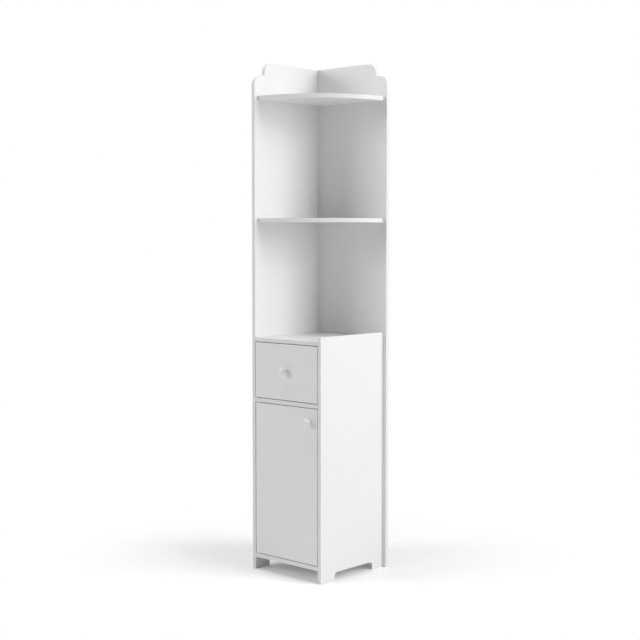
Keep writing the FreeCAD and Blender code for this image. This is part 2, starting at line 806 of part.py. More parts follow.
RUNNER_ROWS = spread(
    f"({RUNNER_FRONT} + runner_screw_inset)", f"({RUNNER_REAR} - runner_screw_inset)", 3
)
runner_centres = [(y, RUNNER_Z) for y in RUNNER_ROWS]
runner_screws = []
for name, panel, wall, inward, outward in (
    ("left_runner", left_panel, "board", "+X", "-X"),
    ("right_runner", side_panel, SIDE_INNER, "-X", "+X"),
):
    strip = round_nosed(RUNNER_REAR, "(runner_height / 2)")
    runner = slab(name, "X", wall, strip, RUNNER_DEPTH, inward)
    face = f"({wall} {inward[0]} {RUNNER_DEPTH})"
    sink = "runner_screw_head_height + screw_sink"
    drill(runner, outward, face, runner_centres, "runner_screw_radius + fit", RUNNER_DEPTH)
    drill(runner, outward, face, runner_centres, "runner_screw_head_radius + fit", sink)
    bite = f"runner_screw_length + 2 * screw_sink - {RUNNER_DEPTH}"
    drill(panel, outward, wall, runner_centres, "runner_screw_radius + fit", bite)
    for y, z in runner_centres:
        start = shift((face, y, z), outward, "screw_sink")
        runner_screws.append(screw(
            outward,
            start,
            "runner_screw_head_radius",
            "runner_screw_head_height",
            "runner_screw_radius",
            "runner_screw_length",
        ))
    nodes.append(runner)
nodes.append(group("runner_screws", runner_screws))

# Door: an inset board that turns on two pins near its left edge. That edge is rounded at the front,
# so that it clears the left panel as the door opens.

PIVOT_X = f"({FRONT_LEFT} + board / 2)"
PIVOT_Y = f"({FRONT} + board / 2)"
FLANGE = "(front_gap - runner_clearance)"
DOOR_KNOB_X = f"({FRONT_RIGHT} - door_knob_inset)"
DOOR_KNOB_Z = f"({DOOR_HIGH} - door_knob_drop)"
CATCH_X = f"({SIDE_INNER} - catch_inset)"
CATCH_FRONT = f"({FRONT_BACK} + strike_thickness + runner_clearance)"
CATCH_LOW = f"({DIVIDER_Z} - catch_height)"
CATCH_Z = f"({DIVIDER_Z} - catch_height / 2)"
STRIKE_RADIUS = "(catch_height / 2 - runner_clearance)"

door = slab(
    "door",
    "Y",
    FRONT_BACK,
    rectangle(FRONT_LEFT, DOOR_LOW, FRONT_RIGHT, DOOR_HIGH),
    "board",
    "-Y",
)
ease_edges(
    door,
    lambda box: lies_at(box.YMin, box.YMax, FRONT) and lies_at(box.XMin, box.XMax, FRONT_LEFT),
    "door_round",
)
ease_edges(
    door,
    lambda box: lies_at(box.YMin, box.YMax, FRONT) and lies_at(box.XMax, box.XMax, FRONT_RIGHT),
)
drill(door, "-Y", FRONT_BACK, [(DOOR_KNOB_X, DOOR_KNOB_Z)], "knob_bolt_radius + fit", "board")
drill(door, "-Y", FRONT_BACK, [(CATCH_X, CATCH_Z)], "strike_pin_radius + fit", "strike_pin_length + fit")

for name, edge, into_board, into_door, seat in (
    ("upper", DOOR_HIGH, "+Z", "-Z", DIVIDER_Z),
    ("lower", DOOR_LOW, "-Z", "+Z", BOTTOM_TOP),
):
    carrier = box_boards["divider_board" if name == "upper" else "bottom_board"]
    drill(door, into_door, edge, [(PIVOT_X, PIVOT_Y)], "pin_radius + fit", "pin_in_door + fit")
    drill(carrier, into_board, seat, [(PIVOT_X, PIVOT_Y)], "bush_radius + fit", "bush_depth")

    pin_start = shift((PIVOT_X, PIVOT_Y, edge), into_door, "pin_in_door")
    pin_length = "pin_in_door + front_gap + bush_depth - runner_clearance"
    pin = rod(into_board, pin_start, "pin_radius", pin_length)
    pin.Label = f"{name}_pivot_pin"

    sleeve = rod(into_board, (PIVOT_X, PIVOT_Y, seat), "bush_radius", "bush_depth")
    flange = rod(into_door, (PIVOT_X, PIVOT_Y, seat), "bush_flange_radius", FLANGE)
    bore_start = shift((PIVOT_X, PIVOT_Y, seat), into_door, "front_gap")
    bore = rod(into_board, bore_start, "pin_radius + fit", "front_gap + bush_depth")
    bush = cut(f"{name}_pivot_bush", fuse("bush_blank", [sleeve, flange]), bore)
    nodes += [pin, bush]

nodes.append(door)
nodes.append(knob("door_knob", DOOR_KNOB_X, DOOR_KNOB_Z))
nodes.append(knob_bolt("door_knob_bolt", DOOR_KNOB_X, DOOR_KNOB_Z))

# Magnetic catch under the divider, and the strike plate on the door that it holds

PACK_HALF = "(magnet_thickness / 2 + pole_thickness)"
catch_outline = rectangle(
    f"({CATCH_X} - catch_length / 2)",
    CATCH_FRONT,
    f"({CATCH_X} + catch_length / 2)",
    f"({CATCH_FRONT} + catch_depth)",
)
catch = slab("catch_housing", "Z", CATCH_LOW, catch_outline, "catch_height", "+Z")
magnet_left = f"({CATCH_X} - magnet_length / 2)"
magnet_right = f"({CATCH_X} + magnet_length / 2)"
magnet_rear = f"({CATCH_FRONT} + magnet_depth)"
well = new_sketch(catch, "Y", CATCH_FRONT)
add_outline(well, rectangle(
    f"({magnet_left} - fit)",
    f"({CATCH_Z} - {PACK_HALF} - fit)",
    f"({magnet_right} + fit)",
    f"({CATCH_Z} + {PACK_HALF} + fit)",
))
pocket(catch, well, "magnet_depth + fit", "+Y")
catch_screw_y = f"({CATCH_FRONT} + catch_depth / 2)"
catch_screw_centres = [
    (f"({CATCH_X} {side} catch_screw_spacing / 2)", catch_screw_y) for side in "-+"
]
sink = "catch_screw_head_height + screw_sink"
drill(catch, "+Z", CATCH_LOW, catch_screw_centres, "catch_screw_radius + fit", "catch_height")
drill(catch, "+Z", CATCH_LOW, catch_screw_centres, "catch_screw_head_radius + fit", sink)
drill(
    box_boards["divider_board"],
    "+Z",
    DIVIDER_Z,
    catch_screw_centres,
    "catch_screw_radius + fit",
    "catch_screw_bite + fit",
)
nodes.append(catch)

magnet = block(
    (magnet_left, CATCH_FRONT, f"({CATCH_Z} - magnet_thickness / 2)"),
    (magnet_right, magnet_rear, f"({CATCH_Z} + magnet_thickness / 2)"),
)
magnet.Label = "catch_magnet"
nodes.append(magnet)
pole_plates = [
    block(
        (magnet_left, CATCH_FRONT, f"({CATCH_Z} + magnet_thickness / 2)"),
        (magnet_right, magnet_rear, f"({CATCH_Z} + {PACK_HALF})"),
    ),
    block(
        (magnet_left, CATCH_FRONT, f"({CATCH_Z} - {PACK_HALF})"),
        (magnet_right, magnet_rear, f"({CATCH_Z} - magnet_thickness / 2)"),
    ),
]
nodes.append(group("catch_pole_plates", pole_plates))
catch_screws = [
    screw(
        "+Z",
        (x, y, f"({CATCH_LOW} + screw_sink)"),
        "catch_screw_head_radius",
        "catch_screw_head_height",
        "catch_screw_radius",
        "(catch_height + catch_screw_bite - screw_sink)",
    )
    for x, y in catch_screw_centres
]
nodes.append(group("catch_screws", catch_screws))

strike_centre = (CATCH_X, FRONT_BACK, CATCH_Z)
strike_disc = rod("+Y", strike_centre, STRIKE_RADIUS, "strike_thickness")
strike_pin = rod("-Y", strike_centre, "strike_pin_radius", "strike_pin_length")
nodes.append(fuse("strike_plate", [strike_disc, strike_pin]))

# Check every object, then write one file for each piece

doc.recompute()
for item in doc.Objects:
    if "Invalid" in item.State or "Error" in item.State:
        raise ValueError(f"{item.Label} did not compute: {item.State}")
for node in nodes:
    if node.Shape.isNull() or not node.Shape.isValid():
        raise ValueError(f"{node.Label} has no valid shape")

os.makedirs("parts", exist_ok=True)
for node in nodes:
    node.Shape.exportStep(f"parts/{node.Label}.step")
    print(node.Label, len(node.Shape.Solids), round(node.Shape.Volume, 1))
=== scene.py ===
import math

import bmesh
import bpy
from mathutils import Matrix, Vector


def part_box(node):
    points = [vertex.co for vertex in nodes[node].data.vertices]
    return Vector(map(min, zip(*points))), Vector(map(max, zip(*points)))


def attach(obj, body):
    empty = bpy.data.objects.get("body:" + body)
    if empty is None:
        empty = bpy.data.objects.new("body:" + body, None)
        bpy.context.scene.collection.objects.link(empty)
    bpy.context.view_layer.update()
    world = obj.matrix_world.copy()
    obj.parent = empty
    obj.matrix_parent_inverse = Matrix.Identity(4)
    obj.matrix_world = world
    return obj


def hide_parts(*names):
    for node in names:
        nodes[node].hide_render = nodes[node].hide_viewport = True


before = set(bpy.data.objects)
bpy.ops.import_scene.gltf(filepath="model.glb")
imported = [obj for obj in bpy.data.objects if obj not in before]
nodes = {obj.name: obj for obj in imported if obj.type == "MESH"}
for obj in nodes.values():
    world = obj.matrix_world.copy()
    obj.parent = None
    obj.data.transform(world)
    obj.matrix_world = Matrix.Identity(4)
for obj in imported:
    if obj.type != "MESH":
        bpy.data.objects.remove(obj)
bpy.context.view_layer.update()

# Tall panels and the low side panel. Half-inch fibreboard, sawn to outline, with stepped round heads
# on the tall pair and feet on all three. The edges are eased and everything is sprayed with white
# satin lacquer; screws along the corner hold the tall pair together.

MM = 0.001
WHITE_LACQUER = "#EAE9E9"
LACQUER_CLOUD = "#E7E6E6"
SAWN_EDGE = "#E7E6E5"
SAWN_FIBRE = "#E0DFDE"
EDGE_SLOPE = 0.6
FACE_SLOPE = 0.9
PANEL_AXES = {"left_side_panel": "X", "rear_panel": "Y", "right_side_panel": "X"}


def linear(hex_colour):
    """An sRGB hex colour as linear RGBA."""
    channels = [int(hex_colour[start:start + 2], 16) / 255 for start in (1, 3, 5)]
    return [c / 12.92 if c <= 0.04045 else ((c + 0.055) / 1.055) ** 2.4 for c in channels] + [1]


def add_node(tree, kind, inputs=None, **settings):
    """Add a node. Settings are its properties; inputs are values, sockets to link from, or a tuple
    of sockets for an input that takes several."""
    node = tree.nodes.new(kind)
    for name, setting in settings.items():
        setattr(node, name, setting)
    for name, source in (inputs or {}).items():
        sources = source if isinstance(source, tuple) else (source,)
        if isinstance(sources[0], bpy.types.NodeSocket):
            for socket in sources:
                tree.links.new(socket, node.inputs[name])
        else:
            node.inputs[name].default_value = source
    return node


def new_material(name, ior=None):
    """A material with its node tree and its shader."""
    material = bpy.data.materials.new(name)
    material.use_nodes = True
    shader = material.node_tree.nodes["Principled BSDF"]
    if ior:
        shader.inputs["IOR"].default_value = ior
    return material, material.node_tree, shader


def wire_finish(shader, colour, roughness, height, strength, depth):
    """Link a finish to its shader: the nodes of its colour and roughness, and the socket of the pattern
    that stands out from it, with how strongly and how far."""
    tree = shader.id_data
    bump = add_node(
        tree,
        "ShaderNodeBump",
        {"Height": height, "Strength": strength, "Distance": depth},
    )
    tree.links.new(colour.outputs["Result"], shader.inputs["Base Color"])
    tree.links.new(roughness.outputs["Result"], shader.inputs["Roughness"])
    tree.links.new(bump.outputs["Normal"], shader.inputs["Normal"])


def satin_lacquer(name, thickness_axis):
    """Satin lacquer sprayed on fibreboard whose thickness lies along an axis. The flat faces are an
    even soft white with faint clouds and orange peel. The sawn edges drank the paint, so they are
    duller, and the board's fibre layers just show."""
    face_sheen = (0.36, 0.46)
    edge_sheen = 0.55
    cloud_size = 180 * MM
    # Orange peel is really about 2 mm from crest to crest, and is drawn coarser so that it shows
    peel_size = 7 * MM
    # The fibre layers are really about 0.3 mm thick, and are drawn coarser for the same reason
    layer_thickness = 1.6 * MM
    fibre_length = 25 * MM

    material, tree, shader = new_material(name, ior=1.5)
    place = add_node(tree, "ShaderNodeTexCoord")
    normal = add_node(tree, "ShaderNodeSeparateXYZ", {"Vector": place.outputs["Normal"]})
    slope = add_node(
        tree,
        "ShaderNodeMath",
        {0: normal.outputs[thickness_axis]},
        operation="ABSOLUTE",
    )
    on_face = add_node(
        tree,
        "ShaderNodeMapRange",
        {"Value": slope.outputs["Value"], "From Min": EDGE_SLOPE, "From Max": FACE_SLOPE},
    )
    cloud = add_node(
        tree,
        "ShaderNodeTexNoise",
        {"Vector": place.outputs["Object"], "Scale": 1 / cloud_size, "Detail": 2.0},
    )
    peel = add_node(
        tree,
        "ShaderNodeTexNoise",
        {"Vector": place.outputs["Object"], "Scale": 1 / peel_size, "Detail": 1.0},
    )
    stretch = [1 / (layer_thickness if axis == thickness_axis else fibre_length) for axis in "XYZ"]
    layers = add_node(
        tree,
        "ShaderNodeMapping",
        {"Vector": place.outputs["Object"], "Scale": stretch},
    )
    fibre = add_node(
        tree,
        "ShaderNodeTexNoise",
        {"Vector": layers.outputs["Vector"], "Scale": 1.0, "Detail": 3.0},
    )

    sprayed = add_node(
        tree,
        "ShaderNodeMix",
        {"Factor": cloud.outputs["Fac"], "A": linear(WHITE_LACQUER), "B": linear(LACQUER_CLOUD)},
        data_type="RGBA",
    )
    sawn = add_node(
        tree,
        "ShaderNodeMix",
        {"Factor": fibre.outputs["Fac"], "A": linear(SAWN_EDGE), "B": linear(SAWN_FIBRE)},
        data_type="RGBA",
    )
    colour = add_node(
        tree,
        "ShaderNodeMix",
        {
            "Factor": on_face.outputs["Result"],
            "A": sawn.outputs["Result"],
            "B": sprayed.outputs["Result"],
        },
        data_type="RGBA",
    )
    clouded_sheen = add_node(
        tree,
        "ShaderNodeMapRange",
        {"Value": cloud.outputs["Fac"], "To Min": face_sheen[0], "To Max": face_sheen[1]},
    )
    roughness = add_node(
        tree,
        "ShaderNodeMix",
        {"Factor": on_face.outputs["Result"], "A": edge_sheen, "B": clouded_sheen.outputs["Result"]},
    )
    height = add_node(
        tree,
        "ShaderNodeMix",
        {"Factor": on_face.outputs["Result"], "A": fibre.outputs["Fac"], "B": peel.outputs["Fac"]},
    )
    wire_finish(shader, colour, roughness, height.outputs["Result"], strength=0.5, depth=0.03 * MM)
    return material


BOARD_FINISHES = {axis: satin_lacquer(f"satin_lacquer_{axis.lower()}", axis) for axis in "XYZ"}


def finish_node(name, material):
    """Give a frame node one material."""
    nodes[name].data.materials.clear()
    nodes[name].data.materials.append(material)


for name, axis in PANEL_AXES.items():
    finish_node(name, BOARD_FINISHES[axis])

# Boards that tie the panels together: the bottom, divider and top of the closed box and the two
# quarter-round shelves. The same lacquered fibreboard, laid flat and screwed on through the tall
# panels from their wall faces.

for name in ("bottom_board", "divider_board", "cabinet_top", "middle_shelf", "upper_shelf"):
    finish_node(name, BOARD_FINISHES["Z"])

# Board screws. Zinc-plated chipboard screws with a low domed head and a cross recess, driven in
# from the two wall faces until the head lies just under the surface, each stopped at its own turn.

WELD = 0.001 * MM
THREAD_PITCH = 2.2 * MM
SPIN_SEED = 7
HEAD_SIDES = 32
HEAD_RINGS = 5
SHANK_SIDES = 24
STEPS_PER_TURN = 16
CREST_SIDES = 4
# Shares of the head's radius, but of its height for the recess's depth
DOME_SHARE = 0.12
RECESS_LENGTH_SHARE = 1.15
RECESS_WIDTH_SHARE = 0.24
RECESS_DEPTH_SHARE = 0.55
# Shares of the thread's radius
CORE_SHARE = 0.72
POINT_SHARE = 2.4


def grained_metal(name, cool, warm, sheen, streak=(1, 1, 1)):
    """Bare or plated metal with a slightly uneven tint between two colours and a fine grain that
    breaks up its sheen, drawn out along one axis on rolled plate."""
    tint_size = 3 * MM
    # The grain is really under 0.1 mm, and is drawn coarser so that it shows
    grain_size = 0.5 * MM

    material, tree, shader = new_material(name)
    shader.inputs["Metallic"].default_value = 1.0
    place = add_node(tree, "ShaderNodeTexCoord")
    tint = add_node(
        tree,
        "ShaderNodeTexNoise",
        {"Vector": place.outputs["Object"], "Scale": 1 / tint_size, "Detail": 2.0},
    )
    colour = add_node(
        tree,
        "ShaderNodeMix",
        {"Factor": tint.outputs["Fac"], "A": linear(cool), "B": linear(warm)},
        data_type="RGBA",
    )
    along_grain = add_node(
        tree,
        "ShaderNodeMapping",
        {
            "Vector": place.outputs["Object"],
            "Scale": [1 / (grain_size * drawn_out) for drawn_out in streak],
        },
    )
    grain = add_node(
        tree,
        "ShaderNodeTexNoise",
        {"Vector": along_grain.outputs["Vector"], "Scale": 1.0, "Detail": 2.0},
    )
    roughness = add_node(
        tree,
        "ShaderNodeMapRange",
        {"Value": grain.outputs["Fac"], "To Min": sheen[0], "To Max": sheen[1]},
    )
    wire_finish(shader, colour, roughness, grain.outputs["Fac"], strength=0.3, depth=0.02 * MM)
    return material


# Zinc electroplate: a cool bright grey, passivated blue to straw yellow
ZINC_COOL = "#C3CAD1"
ZINC_WARM = "#CFCBBF"
SCREW_ZINC = grained_metal("zinc_plated_screw", ZINC_COOL, ZINC_WARM, sheen=(0.24, 0.42))


def solids_of(name):
    """The separate solids of a frame node, each as a list of its corners."""
    merged = bmesh.new()
    merged.from_mesh(nodes[name].data)
    bmesh.ops.remove_doubles(merged, verts=merged.verts, dist=WELD)
    seen = set()
    solids = []
    for first in merged.verts:
        if first in seen:
            continue
        seen.add(first)
        solid = [first]
        for corner in solid:
            for edge in corner.link_edges:
                other = edge.other_vert(corner)
                if other not in seen:
                    seen.add(other)
                    solid.append(other)
        solids.append([corner.co.copy() for corner in solid])
    merged.free()
    return solids


def turned_places(name, axis):
    """Where the turned pieces of a frame node start, and which way each runs along an axis with its
    wider end first. Also the sizes they share: length, radius at the start, radius at the end and
    how far the first radius runs."""
    places = []
    for corners in solids_of(name):
        low = Vector([min(corner[i] for corner in corners) for i in range(3)])
        high = Vector([max(corner[i] for corner in corners) for i in range(3)])
        half = abs((high - low).dot(axis)) / 2
        for drive in (axis, -axis):
            start = (low + high) / 2 - drive * half
            rings = []
            for corner in corners:
                reach = (corner - start).dot(drive)
                rings.append(((corner - start - drive * reach).length, reach))
            start_radius = max(radius for radius, reach in rings if reach < WELD)
            end_radius = max(radius for radius, reach in rings if reach > 2 * half - WELD)
            if start_radius > end_radius - WELD:
                break
        start_run = max(reach for radius, reach in rings if radius > start_radius - WELD)
        places.append((start, drive))
    return places, 2 * half, start_radius, end_radius, start_run


def new_tree(name, lengths):
    """A geometry tree with named inputs for its lengths, and the sockets of those inputs."""
    tree = bpy.data.node_groups.new(name, "GeometryNodeTree")
    tree.interface.new_socket("Geometry", in_out="INPUT", socket_type="NodeSocketGeometry")
    for length in lengths:
        tree.interface.new_socket(length, in_out="INPUT", socket_type="NodeSocketFloat")
    tree.interface.new_socket("Material", in_out="INPUT", socket_type="NodeSocketMaterial")
    tree.interface.new_socket("Geometry", in_out="OUTPUT", socket_type="NodeSocketGeometry")
    return tree, add_node(tree, "NodeGroupInput").outputs


def set_out(tree, given, prototype, most_spin=0.0):
    """End a tree with a copy of the prototype on each point, its Z along the point's drive and turned
    about it by chance, up to a limit."""
    drive = add_node(
        tree,
        "GeometryNodeInputNamedAttribute",
        {"Name": "drive"},
        data_type="FLOAT_VECTOR",
    )
    aimed = add_node(
        tree,
        "FunctionNodeAlignRotationToVector",
        {"Vector": drive.outputs["Attribute"]},
        axis="Z",
    )
    chance = add_node(
        tree,
        "FunctionNodeRandomValue",
        {"Min": 0.0, "Max": most_spin, "Seed": SPIN_SEED},
        data_type="FLOAT",
    )
    spin = add_node(
        tree,
        "FunctionNodeAxisAngleToRotation",
        {"Axis": [0, 0, 1], "Angle": chance.outputs["Value"]},
    )
    turned = add_node(
        tree,
        "FunctionNodeRotateRotation",
        {"Rotation": aimed.outputs["Rotation"], "Rotate By": spin.outputs["Rotation"]},
        rotation_space="LOCAL",
    )
    copies = add_node(
        tree,
        "GeometryNodeInstanceOnPoints",
        {
            "Points": given["Geometry"],
            "Instance": prototype,
            "Rotation": turned.outputs["Rotation"],
        },
    )
    solid = add_node(
        tree,
        "GeometryNodeRealizeInstances",
        {"Geometry": copies.outputs["Instances"]},
    )
    painted = add_node(
        tree,
        "GeometryNodeSetMaterial",
        {"Geometry": solid.outputs["Geometry"], "Material": given["Material"]},
    )
    add_node(tree, "NodeGroupOutput", {"Geometry": painted.outputs["Geometry"]})


def make_set(name, tree, places, settings, body, replaced):
    """A set of like pieces made by a tree, as one plain mesh that stands for a frame node."""
    points = bpy.data.meshes.new(f"{name}_places")
    points.from_pydata([start for start, drive in places], [], [])
    drives = points.attributes.new("drive", "FLOAT_VECTOR", "POINT")
    for entry, (start, drive) in zip(drives.data, places):
        entry.vector = drive
    piece = bpy.data.objects.new(name, points)
    bpy.context.scene.collection.objects.link(piece)
    modifier = piece.modifiers.new(tree.name, "NODES")
    modifier.node_group = tree
    for socket in tree.interface.items_tree:
        if socket.in_out == "INPUT" and socket.name in settings:
            modifier[socket.identifier] = settings[socket.name]
    evaluated = piece.evaluated_get(bpy.context.evaluated_depsgraph_get())
    finished = bpy.data.meshes.new_from_object(evaluated)
    piece.modifiers.remove(modifier)
    piece.data = finished
    bpy.data.meshes.remove(points)
    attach(piece, body)
    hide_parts(replaced)


screw_tree, given = new_tree(
    "cross_head_screw",
    [
        "Head Radius",
        "Head Height",
        "Dome",
        "Recess Length",
        "Recess Width",
        "Recess Depth",
        "Core Radius",
        "Thread Radius",
        "Length",
        "Pitch",
        "Point",
    ],
)

# The head is a cone of equal radii, which starts at the origin. Its outer face falls to the rim
# with the square of the radius.
blank = add_node(
    screw_tree,
    "GeometryNodeMeshCone",
    {
        "Vertices": HEAD_SIDES,
        "Fill Segments": HEAD_RINGS,
        "Radius Top": given["Head Radius"],
        "Radius Bottom": given["Head Radius"],
        "Depth": given["Head Height"],
    },
)
spot = add_node(screw_tree, "GeometryNodeInputPosition")
flat_spot = add_node(
    screw_tree,
    "ShaderNodeVectorMath",
    {0: spot.outputs["Position"], 1: [1, 1, 0]},
    operation="MULTIPLY",
)
from_axis = add_node(
    screw_tree,
    "ShaderNodeVectorMath",
    {0: flat_spot.outputs["Vector"]},
    operation="LENGTH",
)
share = add_node(
    screw_tree,
    "ShaderNodeMath",
    {0: from_axis.outputs["Value"], 1: given["Head Radius"]},
    operation="DIVIDE",
)
squared = add_node(
    screw_tree,
    "ShaderNodeMath",
    {0: share.outputs["Value"], 1: share.outputs["Value"]},
    operation="MULTIPLY",
)
fall = add_node(
    screw_tree,
    "ShaderNodeMath",
    {0: squared.outputs["Value"], 1: given["Dome"]},
    operation="MULTIPLY",
)
sunk = add_node(screw_tree, "ShaderNodeCombineXYZ", {"Z": fall.outputs["Value"]})
domed = add_node(
    screw_tree,
    "GeometryNodeSetPosition",
    {
        "Geometry": blank.outputs["Mesh"],
        "Selection": blank.outputs["Bottom"],
        "Offset": sunk.outputs["Vector"],
    },
)

# Two crossed blades, half of each outside the head, cut the recess
blade_height = add_node(
    screw_tree,
    "ShaderNodeMath",
    {0: given["Recess Depth"], 1: 2.0},
    operation="MULTIPLY",
)
blades = []
for along, across in (("Recess Length", "Recess Width"), ("Recess Width", "Recess Length")):
    blade_size = add_node(
        screw_tree,
        "ShaderNodeCombineXYZ",
        {"X": given[along], "Y": given[across], "Z": blade_height.outputs["Value"]},
    )
    blade = add_node(screw_tree, "GeometryNodeMeshCube", {"Size": blade_size.outputs["Vector"]})
    blades.append(blade.outputs["Mesh"])
recessed = add_node(
    screw_tree,
    "GeometryNodeMeshBoolean",
    {"Mesh 1": domed.outputs["Geometry"], "Mesh 2": tuple(blades)},
    operation="DIFFERENCE",
    solver="EXACT",
)

# The shank is a core with a thread coiled on it, and a plain point
shank_length = add_node(
    screw_tree,
    "ShaderNodeMath",
    {0: given["Length"], 1: given["Head Height"]},
    operation="SUBTRACT",
)
core_length = add_node(
    screw_tree,
    "ShaderNodeMath",
    {0: shank_length.outputs["Value"], 1: given["Point"]},
    operation="SUBTRACT",
)
core = add_node(
    screw_tree,
    "GeometryNodeMeshCone",
    {
        "Vertices": SHANK_SIDES,
        "Radius Top": given["Core Radius"],
        "Radius Bottom": given["Core Radius"],
        "Depth": core_length.outputs["Value"],
    },
)
point = add_node(
    screw_tree,
    "GeometryNodeMeshCone",
    {
        "Vertices": SHANK_SIDES,
        "Radius Top": 0.0,
        "Radius Bottom": given["Core Radius"],
        "Depth": given["Point"],
    },
)
turns = add_node(
    screw_tree,
    "ShaderNodeMath",
    {0: core_length.outputs["Value"], 1: given["Pitch"]},
    operation="DIVIDE",
)
coil = add_node(
    screw_tree,
    "GeometryNodeCurveSpiral",
    {
        "Resolution": STEPS_PER_TURN,
        "Rotations": turns.outputs["Value"],
        "Start Radius": given["Core Radius"],
        "End Radius": given["Core Radius"],
        "Height": core_length.outputs["Value"],
    },
)
upright = add_node(
    screw_tree,
    "GeometryNodeSetCurveNormal",
    {"Curve": coil.outputs["Curve"]},
    mode="Z_UP",
)
crest_height = add_node(
    screw_tree,
    "ShaderNodeMath",
    {0: given["Thread Radius"], 1: given["Core Radius"]},
    operation="SUBTRACT",
)
crest = add_node(
    screw_tree,
    "GeometryNodeCurvePrimitiveCircle",
    {"Resolution": CREST_SIDES, "Radius": crest_height.outputs["Value"]},
)
coiled = add_node(
    screw_tree,
    "GeometryNodeCurveToMesh",
    {
        "Curve": upright.outputs["Curve"],
        "Profile Curve": crest.outputs["Curve"],
        "Fill Caps": True,
    },
)
thread = add_node(
    screw_tree,
    "GeometryNodeSetShadeSmooth",
    {"Geometry": coiled.outputs["Mesh"], "Shade Smooth": False},
)
point_start = add_node(
    screw_tree,
    "ShaderNodeMath",
    {0: core_length.outputs["Value"], 1: given["Head Height"]},
    operation="ADD",
)
stacked = [recessed.outputs["Mesh"]]
for portion, start in (
    (core.outputs["Mesh"], given["Head Height"]),
    (thread.outputs["Geometry"], given["Head Height"]),
    (point.outputs["Mesh"], point_start.outputs["Value"]),
):
    offset = add_node(screw_tree, "ShaderNodeCombineXYZ", {"Z": start})
    moved = add_node(
        screw_tree,
        "GeometryNodeTransform",
        {"Geometry": portion, "Translation": offset.outputs["Vector"]},
    )
    stacked.append(moved.outputs["Geometry"])
screw = add_node(screw_tree, "GeometryNodeJoinGeometry", {"Geometry": tuple(stacked)})
set_out(screw_tree, given, screw.outputs["Geometry"], most_spin=math.pi / 2)


def drive_screws(name, axis, body, pitch=THREAD_PITCH, point_share=POINT_SHARE):
    """Cross-head screws in the places of a frame node's plain ones, driven along an axis."""
    places, length, head_radius, thread_radius, head_height = turned_places(name, axis)
    settings = {
        "Head Radius": head_radius,
        "Head Height": head_height,
        "Dome": head_radius * DOME_SHARE,
        "Recess Length": head_radius * RECESS_LENGTH_SHARE,
        "Recess Width": head_radius * RECESS_WIDTH_SHARE,
        "Recess Depth": head_height * RECESS_DEPTH_SHARE,
        "Core Radius": thread_radius * CORE_SHARE,
        "Thread Radius": thread_radius,
        "Length": length,
        "Pitch": pitch,
        "Point": thread_radius * point_share,
        "Material": SCREW_ZINC,
    }
    make_set(f"zinc_{name}", screw_tree, places, settings, body, name)


ALONG_X = Vector((1, 0, 0))
ALONG_Y = Vector((0, 1, 0))
ALONG_Z = Vector((0, 0, 1))
drive_screws("left_panel_screws", ALONG_X, "carcass")
drive_screws("rear_panel_screws", ALONG_Y, "carcass")

# Cam fittings and dowels at the low side panel, whose outer face stays clean. Die-cast discs, turned
# from below with a cross driver, grip zinc-plated bolts; fluted beech dowels keep the boards in
# line.

BORE_RADIUS = 2.8 * MM
BORE_BACK = 2 * MM
SLOT_LENGTH = 8.4 * MM
SLOT_WIDTH = 1.7 * MM
SLOT_DEPTH = 2.4 * MM
CAM_SIDES = 48
BORE_SIDES = 32
# Die-cast zinc: a duller, greyer metal than the plating, with a sandy skin from the die
CAST_COOL = "#A6A9AC"
CAST_WARM = "#B1AFAA"
CAST_ZINC = grained_metal("die_cast_zinc", CAST_COOL, CAST_WARM, sheen=(0.42, 0.6))

cam_tree, given = new_tree(
    "cam_disc",
    [
        "Radius",
        "Height",
        "Bore Radius",
        "Bore Length",
        "Bore Height",
        "Bore Back",
        "Slot Length",
        "Slot Width",
        "Slot Depth",
    ],
)
disc = add_node(
    cam_tree,
    "GeometryNodeMeshCone",
    {
        "Vertices": CAM_SIDES,
        "Radius Top": given["Radius"],
        "Radius Bottom": given["Radius"],
        "Depth": given["Height"],
    },
)

# The bolt's bore comes in from the side and ends a little past the middle of the disc
bore = add_node(
    cam_tree,
    "GeometryNodeMeshCylinder",
    {"Vertices": BORE_SIDES, "Radius": given["Bore Radius"], "Depth": given["Bore Length"]},
)
bore_middle = add_node(
    cam_tree,
    "ShaderNodeMath",
    {0: given["Radius"], 1: given["Bore Back"]},
    operation="SUBTRACT",
)
bore_place = add_node(
    cam_tree,
    "ShaderNodeCombineXYZ",
    {"X": bore_middle.outputs["Value"], "Z": given["Bore Height"]},
)
placed_bore = add_node(
    cam_tree,
    "GeometryNodeTransform",
    {
        "Geometry": bore.outputs["Mesh"],
        "Translation": bore_place.outputs["Vector"],
        "Rotation": [0, math.pi / 2, 0],
    },
)
cutters = [placed_bore.outputs["Geometry"]]

# Two crossed cutters, half of each outside the disc, make the driver's slot
slot_height = add_node(
    cam_tree,
    "ShaderNodeMath",
    {0: given["Slot Depth"], 1: 2.0},
    operation="MULTIPLY",
)
for along, across in (("Slot Length", "Slot Width"), ("Slot Width", "Slot Length")):
    slot_size = add_node(
        cam_tree,
        "ShaderNodeCombineXYZ",
        {"X": given[along], "Y": given[across], "Z": slot_height.outputs["Value"]},
    )
    slot = add_node(cam_tree, "GeometryNodeMeshCube", {"Size": slot_size.outputs["Vector"]})
    cutters.append(slot.outputs["Mesh"])
cam = add_node(
    cam_tree,
    "GeometryNodeMeshBoolean",
    {"Mesh 1": disc.outputs["Mesh"], "Mesh 2": tuple(cutters)},
    operation="DIFFERENCE",
    solver="EXACT",
)
set_out(cam_tree, given, cam.outputs["Mesh"])

